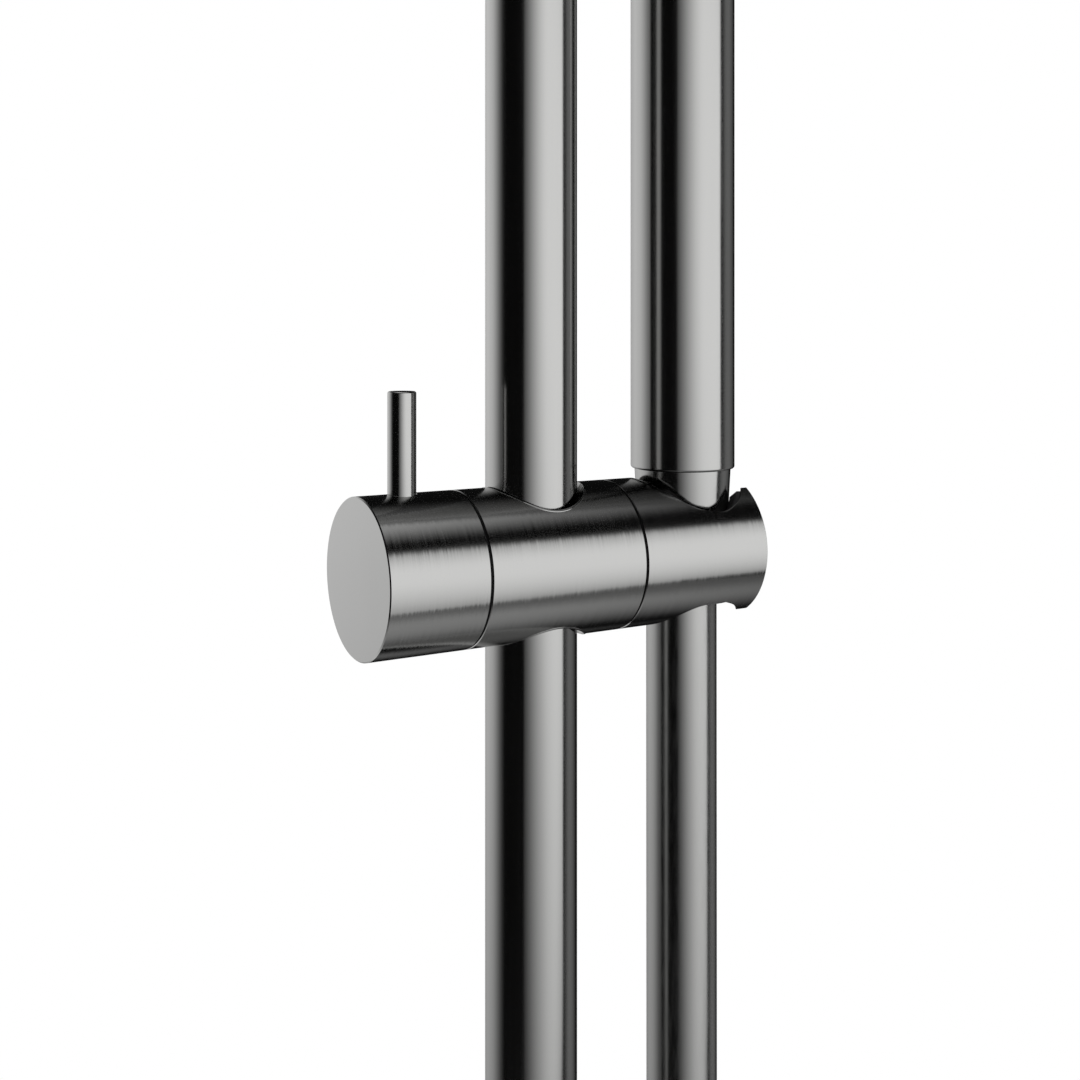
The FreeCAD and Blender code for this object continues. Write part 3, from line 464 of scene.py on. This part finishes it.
def ideal_normals(mesh, walls, near=0.02):
    """Gives each face on an ideal wall that wall's own normals, so that no facet shows in the gloss."""
    corner_normals = [Vector((0, 0, 1))] * len(mesh.loops)
    for face in mesh.polygons:
        rule = None
        for gap, normal in walls:
            on_wall = all(abs(gap(mesh.vertices[v].co)) < near for v in face.vertices)
            if on_wall and abs(face.normal.dot(normal(face.center))) > 0.96:
                rule = normal
                break
        for loop in face.loop_indices:
            if rule is None:
                corner_normals[loop] = face.normal.copy()
            else:
                ideal = rule(mesh.vertices[mesh.loops[loop].vertex_index].co)
                corner_normals[loop] = ideal if ideal.dot(face.normal) > 0 else -ideal
    mesh.polygons.foreach_set("use_smooth", [True] * len(mesh.polygons))
    mesh.normals_split_custom_set(corner_normals)


def barrel_piece(name, faces, edges, cutters, walls, finish, body, nodes):
    """One part of the barrel: a turned drum with its holes cut and its gloss kept true."""
    (low, high), (left, right) = faces, edges
    drum = turned_mesh(name, "X", Vector(), [
        (low, 0), (low, BARREL - left), (low + left, BARREL), (high - right, BARREL), (high, BARREL - right), (high, 0),
    ], sides=256)
    mesh = carved(drum, cutters)
    ideal_normals(mesh, [BARREL_WALL] + walls)
    dress(show(name, mesh, sharp=None), finish["barrel"], body, nodes)


def dress(piece, material, body, nodes):
    """Gives a piece its finish and its body, and hides the nodes it stands for."""
    piece.data.materials.clear()
    piece.data.materials.append(material)
    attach(piece, body)
    if nodes:
        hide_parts(*nodes)


# Pieces


def rod(name, axis, at, ends, radius, sides=64):
    """A plain round cutter."""
    low, high = ends
    return turned_mesh(name, axis, Vector(at), [(low, 0), (low, radius), (high, radius), (high, 0)], sides)


def seat_at(z):
    """Radius of the holder's bore at a height."""
    return SEAT + SEAT_TAPER * z


def bore_liner(finish):
    """The liner of the holder's bore: a C that opens through the slot, its top a funnel that follows the rim."""
    x0, y0 = SEAT_CENTRE
    foot, crest, gap, land, slope, steps = -11.8, BARREL - 0.95, 0.04, 0.9, 0.5, 120
    half_mouth, widest = SLOT - 0.15, seat_at(13)
    start = math.asin((half_mouth - y0) / widest)
    turn = 2 * math.pi - start - math.asin((half_mouth + y0) / widest)
    sections = []
    for k in range(steps + 1):
        angle = start + turn * k / steps
        c, s = math.cos(angle), math.sin(angle)

        def at(radius, z, centred=True):
            return Vector(((x0 if centred else HOLDER_AXIS) + radius * c, (y0 if centred else 0) + radius * s, z))

        top = min(math.sqrt(crest ** 2 - at(seat_at(10), 0).y ** 2), 14.55)
        nut = NUT_TOP + 0.1 - NUT_TAPER * NUT_ENDS[1]
        low = top - slope * (seat_at(top) - nut - NUT_TAPER * top + 0.6)
        sections.append([at(nut + NUT_TAPER * foot, foot, False), at(seat_at(foot) - gap, foot),
                         at(seat_at(top) - gap, top), at(seat_at(top) - gap - land, top),
                         at(nut + NUT_TAPER * low, low, False)])
    dress(show("bore_liner", lofted_mesh("bore_liner", sections, capped=True)), finish["acetal"], "holder",
          ["holder_insert"])


def slider_barrel(finish):
    """The barrel's three parts: the body with the rail's bore, the knob with the pin's hole, and the slotted holder."""

    def rail_bore(z):
        return SLEEVE[1] - 0.04

    def pin_hole(z):
        return PIN + FIT

    bore = flared_hole("rail_way", SLEEVE_CENTRE, rail_bore, None, None, 0.0)
    barrel_piece("slider_barrel", BODY_FACES, (RIM_EDGE, RIM_EDGE),
                 [bore, rod("spindle_way", "X", (0, 0, 0), (-30, 0), SPINDLE + FIT),
                  rod("pivot_way", "X", (0, 0, 0), (12.15, 30), PIVOT + FIT)],
                 [upright_wall(SLEEVE_CENTRE, rail_bore)], finish, "slider", ["slider_body"])
    hole = flared_hole("pin_way", (PIN_AXIS, 0), pin_hole, None, None, 0.1, through=False)
    barrel_piece("clamp_knob_barrel", KNOB_FACES, (END_EDGE, RIM_EDGE),
                 [hole, rod("knob_spindle_way", "X", (0, 0, 0), (-36.9, 0), SPINDLE + FIT)],
                 [upright_wall((PIN_AXIS, 0), pin_hole)], finish, "knob", ["clamp_knob"])
    opening = flared_hole("hose_way", SEAT_CENTRE, seat_at, SLOT, 65, RIM_EDGE)
    barrel_piece("holder_barrel", HOLDER_FACES, (RIM_EDGE, END_EDGE),
                 [opening, rod("holder_pivot_way", "X", (0, 0, 0), (10, 40), 3.08),
                  rod("pivot_head_way", "X", (0, 0, 0), (24.2, 40), 5.1)],
                 [upright_wall(SEAT_CENTRE, seat_at)], finish, "holder", ["holder_body"])


def rail_sleeve(finish):
    """The sleeve that lines the rail's bore and stands a little out of the barrel, its ends cut to the barrel."""
    inner, outer = SLEEVE
    edge, depth, sides = 0.02, 6.0, 192

    def ring(radius, sign, drop):
        angles = (2 * math.pi * k / sides for k in range(sides))
        plan = [Vector(SLEEVE_CENTRE) + Vector((radius * math.cos(a), radius * math.sin(a))) for a in angles]
        return [Vector((p.x, p.y, sign * (math.sqrt(SLEEVE_CREST ** 2 - p.y ** 2) - drop))) for p in plan]

    rim = [(outer, depth), (outer, edge), (outer - edge, 0), (inner + edge, 0), (inner, edge), (inner, depth)]
    rings = [ring(radius, 1, drop) for radius, drop in rim] + [ring(radius, -1, drop) for radius, drop in reversed(rim)]
    dress(show("rail_sleeve", lofted_mesh("rail_sleeve", rings, closed=True)), finish["turned"], "slider", [])


def turned_pieces(finish):
    """The plain turned pieces, each written as its outline."""
    (foot, top), (nut_foot, nut_top), (rail_low, rail_high) = HANDSET_ENDS, NUT_ENDS, RAIL_ENDS
    nut_low = NUT_TOP - NUT_TAPER * (nut_top - nut_foot)
    pieces = [
        ("rail_tube_polished", "Z", (0, 0, 0), [(rail_low, 9.05), (rail_low, RAIL), (rail_high, RAIL),
                                                (rail_high, 9.05)], True, "tube", "wall_rail", ["rail_tube"],
         "rail_metal"),
        ("cone_nut", "Z", (HOLDER_AXIS, 0, 0), [
            (nut_foot, 8.95), (nut_foot, nut_low, 0.15), (nut_top - 0.06, NUT_TOP), (nut_top, NUT_TOP - 0.06),
            (nut_top, 10.5), (8.8, 10.5), (8.8, 8.73), (nut_foot + 0.25, 8.73)], True, "turned", "holder",
         ["hose_cone_nut"], "nut_metal"),
        ("lever_pin_polished", "Z", (PIN_AXIS, 0, 0), [(3.05, 0), (3.05, PIN, 0.4), (PIN_TOP, PIN, 0.45),
                                                       (PIN_TOP, 0)], False, "turned", "knob", ["lever_pin"],
         "pin_metal"),
        ("handset_cap_turned", "Z", (HOLDER_AXIS, 0, 0), [
            (top - 5, 0), (top - 5, 11.33), (top, 11.33), (top, HANDSET), (top + 3, HANDSET, 0.8), (top + 3, 0)],
         False, "turned", "holder", ["handset_cap"], "handset_metal"),
    ]
    for end, level in FIXINGS.items():
        sign = 1 if level > 0 else -1
        tip = rail_high if level > 0 else rail_low
        pieces += [
            (f"{end}_rosette_cup", "Y", (0, 0, level), [
                (WALL, 18.5), (WALL, 20), (WALL - 9, 20, 1.2), (WALL - 9, 9.4), (WALL - 8.7, 9.1),
                (WALL - 7.5, 9.1), (WALL - 7.5, 18.5)], True, "turned", "wall_rail", [f"{end}_rosette"], "rail_metal"),
            (f"{end}_rail_end_cap", "Z", (0, 0, tip), [
                (-10 * sign, 0), (-10 * sign, 9), (0, 9), (0, RAIL), (3 * sign, RAIL, 0.8), (3 * sign, 0)], False,
             "turned", "wall_rail", [f"{end}_rail_cap"], "rail_metal"),
        ]
    for name, axis, at, corners, hollow, material, body, nodes, slot in pieces:
        mesh = turned_mesh(name, axis, Vector(at), corners, 192, hollow)
        dress(show(name, mesh), finish[material], body, nodes)


def bracket_arms(finish):
    """The arms from the wall to the rail's back, each hollowed for its boss and cut for the rail, stud and screw."""
    for end, level in FIXINGS.items():
        at = Vector((0, 0, level))
        arm = turned_mesh(f"{end}_arm", "Y", at, [(49.95, 7.05), (49.95, 9), (0, 9), (0, 0), (34, 0), (34, 7.05)], 128)
        arm = carved(arm, [rod("saddle", "Z", at, (-20, 20), RAIL + FIT, 192),
                           rod("stud_way", "Y", at, (-5, 25), STUD + FIT),
                           rod("grub_way", "Z", at + Vector((0, WALL - 14, 0)), (-12, 0), GRUB_SCREW + FIT)])
        walls = [(lambda p: math.hypot(p.x, p.z - level) - 9, lambda p: Vector((p.x, 0, p.z - level)).normalized())]
        ideal_normals(arm, walls)
        dress(show(f"{end}_turned_arm", arm, sharp=None), finish["turned"], "wall_rail", [f"{end}_bracket_arm"])


def capsule(half_width, foot, top, out, steps=24):
    """Upright outline points (x, z) with round ends, grown by out."""
    radius = half_width + out
    low, high = foot + half_width, top - half_width
    angles = [math.pi * k / steps for k in range(steps + 1)]
    return ([(radius * math.cos(a), high + radius * math.sin(a)) for a in angles]
            + [(-radius * math.cos(a), low - radius * math.sin(a)) for a in angles])


def handset(finish):
    """The hand shower's tube, with the window for its spray face cut in the front."""
    foot, top = HANDSET_ENDS
    at = Vector((HOLDER_AXIS, 0, 0))
    tube = turned_mesh("handset_tube_blank", "Z", at, [(foot, 11.38), (foot, HANDSET, 0.6), (top, HANDSET),
                                                       (top, 11.38)], 192, True)
    half, low, high = WINDOW

    def ring(depth, out):
        return [at + Vector((x, depth, z)) for x, z in capsule(half, low, high, out)]

    window = lofted_mesh("window", [ring(-20, 0), ring(-5, 0)], capped=True)
    tube = carved(tube, [window])
    walls = [(lambda p: math.hypot(p.x - HOLDER_AXIS, p.y) - HANDSET,
              lambda p: Vector((p.x - HOLDER_AXIS, p.y, 0)).normalized())]
    ideal_normals(tube, walls)
    dress(show("handset_barrel", tube, sharp=None), finish["tube"], "holder", ["handset_tube"])


NOZZLES = {"Across": 4.6, "Pitch": 5.2, "Stand": 3.6, "Mouth": 0.38, "Wall Foot": 0.6, "Wall Lip": 0.36}
NOZZLE_ROWS = 14


def nozzle_tree(finish):
    """Spray nozzles on a grid: a teat with a tapered wall and a rounded lip, set out in rows and joined to the mat."""
    tree = bpy.data.node_groups.new("spray_nozzles", "GeometryNodeTree")
    tree.interface.new_socket("Mat", in_out="INPUT", socket_type="NodeSocketGeometry")
    for name in NOZZLES:
        tree.interface.new_socket(name, in_out="INPUT", socket_type="NodeSocketFloat")
    tree.interface.new_socket("Rows", in_out="INPUT", socket_type="NodeSocketInt")
    tree.interface.new_socket("Nozzles", in_out="OUTPUT", socket_type="NodeSocketGeometry")
    given = add(tree, "NodeGroupInput").outputs
    centre = math_node(tree, "ADD", given["Mouth"], product(tree, given["Wall Foot"], 0.5))
    path = add(tree, "GeometryNodeCurvePrimitiveCircle", {"Resolution": 20, "Radius": centre})
    wall = add(tree, "GeometryNodeCurvePrimitiveQuadrilateral",
               {"Bottom Width": given["Wall Foot"], "Top Width": given["Wall Lip"], "Height": given["Stand"],
                "Offset": 0.0},
               mode="TRAPEZOID")
    lip = add(tree, "GeometryNodeFilletCurve", {"Curve": wall.outputs[0], "Radius": 0.14 * MM, "Count": 3}, mode="POLY")
    teat = add(tree, "GeometryNodeCurveToMesh", {"Curve": path.outputs[0], "Profile Curve": lip.outputs[0]})
    length = product(tree, math_node(tree, "SUBTRACT", given["Rows"], 1), given["Pitch"])
    grid = add(tree, "GeometryNodeMeshGrid", {"Size X": given["Across"], "Size Y": length, "Vertices X": 2,
                                              "Vertices Y": given["Rows"]})
    nozzles = add(tree, "GeometryNodeInstanceOnPoints", {"Points": grid.outputs[0], "Instance": teat.outputs[0]})
    middle = SLIDER + Vector((HOLDER_AXIS, -11.5, (WINDOW[1] + WINDOW[2]) / 2))
    placed = add(tree, "GeometryNodeTransform", {"Geometry": nozzles.outputs[0], "Translation": middle * MM,
                                                 "Rotation": (math.pi / 2, 0, 0)})
    joined = add(tree, "GeometryNodeJoinGeometry")
    tree.links.new(placed.outputs[0], joined.inputs[0])
    tree.links.new(given["Mat"], joined.inputs[0])
    real = add(tree, "GeometryNodeRealizeInstances", {"Geometry": joined.outputs[0]})
    smooth = add(tree, "GeometryNodeSetShadeSmooth", {"Geometry": real.outputs[0]})
    painted = add(tree, "GeometryNodeSetMaterial", {"Geometry": smooth.outputs[0], "Material": finish["silicone"]})
    add(tree, "NodeGroupOutput", {"Nozzles": painted.outputs[0]})
    return tree


def spray_nozzles(finish):
    """The soft mat behind the spray plate, with its nozzles."""
    half, low, high = WINDOW
    at = Vector((HOLDER_AXIS, 0, 0))
    rings = [[at + Vector((x, depth, z)) for x, z in capsule(half, low, high, 1.1)] for depth in (-7.0, -8.95)]
    mat = show("mat_blank", lofted_mesh("mat_blank", rings, capped=True))
    step = mat.modifiers.new("nozzles", "NODES")
    step.node_group = nozzle_tree(finish)
    sockets = {item.name: item.identifier for item in step.node_group.interface.items_tree if item.in_out == "INPUT"}
    for name, size in NOZZLES.items():
        step[sockets[name]] = size * MM
    step[sockets["Rows"]] = NOZZLE_ROWS
    mesh = bpy.data.meshes.new_from_object(mat.evaluated_get(bpy.context.evaluated_depsgraph_get()))
    bpy.data.objects.remove(mat)
    mesh.set_sharp_from_angle(angle=math.radians(40))
    piece = bpy.data.objects.new("spray_nozzles", mesh)
    bpy.context.scene.collection.objects.link(piece)
    dress(piece, finish["silicone"], "holder", ["nozzle_mat"])


def hank_straps(finish):
    """The straps around the hank: a flat band that wraps two runs, with its free end laid back on itself."""
    straps = []
    (x1, x2), (fold, last_fold) = HANK_PLANES, HANK_FOLDS
    for name, node, y1, y2, level in (("rear_strap", "rear_hank_tie", 0, 0, -339.6),
                                      ("front_strap", "front_hank_tie", -fold, -last_fold, -443.1)):
        first, second = Vector((x1, y1, level)), Vector((x2, y2, level))
        along = (second - first).normalized()
        start = math.atan2(along.y, along.x)
        inner, thick, half, steps = HOSE + 0.25, 1.4, 8.0, 24
        rings = []
        for centre, begin in ((second, start - math.pi / 2), (first, start + math.pi / 2)):
            for k in range(steps + 1):
                angle = begin + math.pi * k / steps
                out = Vector((math.cos(angle), math.sin(angle), 0))
                rings.append([centre + out * (inner + o) + Vector((0, 0, h)) for o, h in (
                    (0, -half), (thick * 0.6, -half), (thick, -half + 0.5), (thick, half - 0.5),
                    (thick * 0.6, half), (0, half))])
        strap = show(name, lofted_mesh(name, rings, closed=True))
        dress(strap, finish["strap"], "slider", [node])
        straps.append(strap)
    return straps


def hose(finish, straps):
    """The hose: straight down from its nut, then folded into a tied hank that hangs below the view."""
    (x1, x2), (fold, last_fold) = HANK_PLANES, HANK_FOLDS
    high, low, last, end = -156.6, -522.6, -534.6, -415.6  # the hank's top, the foot of each turn, and the hose's end
    x0, y0 = 42.67, 0.14  # where the photograph shows it leave the nut
    route = [(x0, y0, NUT_ENDS[0]), (x1, 0, low + fold), (x1, 0, low), (x1, -fold, low), (x1, -fold, low + fold),
             (x1, -fold, high - fold), (x1 + 5, -fold, high), (x2 + 0.5, 0, high), (x2, 0, high - fold),
             (x2, 0, last + last_fold), (x2, 0, last), (x2, -last_fold, last), (x2, -last_fold, end)]
    line = bpy.data.curves.new("hose_line", "CURVE")
    line.dimensions = "3D"
    spline = line.splines.new("NURBS")
    spline.points.add(len(route) - 1)
    for point, place in zip(spline.points, route):
        point.co = (*((Vector(place) + SLIDER) * MM), 1)
    spline.order_u = 3
    spline.use_endpoint_u = True
    line.resolution_u = 64
    carrier = bpy.data.objects.new("hose_line", line)
    bpy.context.scene.collection.objects.link(carrier)
    graph = bpy.context.evaluated_depsgraph_get()
    path = [v.co.copy() for v in bpy.data.meshes.new_from_object(carrier.evaluated_get(graph)).vertices]
    line.bevel_depth = HOSE * MM
    line.bevel_resolution = 14
    line.use_fill_caps = True
    graph.update()
    mesh = bpy.data.meshes.new_from_object(carrier.evaluated_get(bpy.context.evaluated_depsgraph_get()))
    bpy.data.objects.remove(carrier)
    mesh.shade_smooth()
    tube = bpy.data.objects.new("smooth_hose", mesh)
    bpy.context.scene.collection.objects.link(tube)
    mesh.materials.clear()
    mesh.materials.append(finish["hose"])
    tube.visible_glossy = False  # or the hank would show in the barrel, while the photograph has no spare hose
    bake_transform(tube)
    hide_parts("hose_tube", "hose_hank")


def carried_nodes(frame, finish):
    """Finishes for the CAD nodes that are shown as they are."""
    wanted = {
        "brass": ("wall_disc", "rail_anchor", "hose_ferrule", "handset_inlet"),
        "turned": ("hose_end_nut",),
        "stainless": ("grub_screw", "arm_stud", "pivot_screw", "pivot_spring", "clamp_spindle"),
        "acetal": ("guide_bush", "washer", "clamp_pad"),
        "abs": ("spray_plate", "spray_housing", "waterway"),
        "rubber": ("seal",),
    }
    for name, node in frame["nodes"].items():
        for kind, parts in wanted.items():
            if any(part in name for part in parts):
                node.data.materials.clear()
                node.data.materials.append(finish[kind])


def pale_floor():
    """A round white floor, below the photograph's view. The cards' cove stands for it in the metal."""
    mesh = turned_mesh("floor", "Z", Vector((0, 0, -990)), [(0, 0), (0, 1250)], 96)
    floor = show("floor", mesh)
    material, tree, shader = new_material("studio_floor_white")
    shader.inputs["Base Color"].default_value = linear("#F2F2F2")
    shader.inputs["Roughness"].default_value = 0.9
    floor.data.materials.append(material)
    floor.visible_glossy = False


def main():
    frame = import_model()
    photo_camera()
    finish = all_finishes()
    hose(finish, hank_straps(finish))
    slider_barrel(finish)
    bore_liner(finish)
    rail_sleeve(finish)
    turned_pieces(finish)
    bracket_arms(finish)
    handset(finish)
    spray_nozzles(finish)
    carried_nodes(frame, finish)
    white_surround()
    studio_cards()
    pale_floor()
    bpy.context.scene.view_settings.view_transform = "Standard"


main()
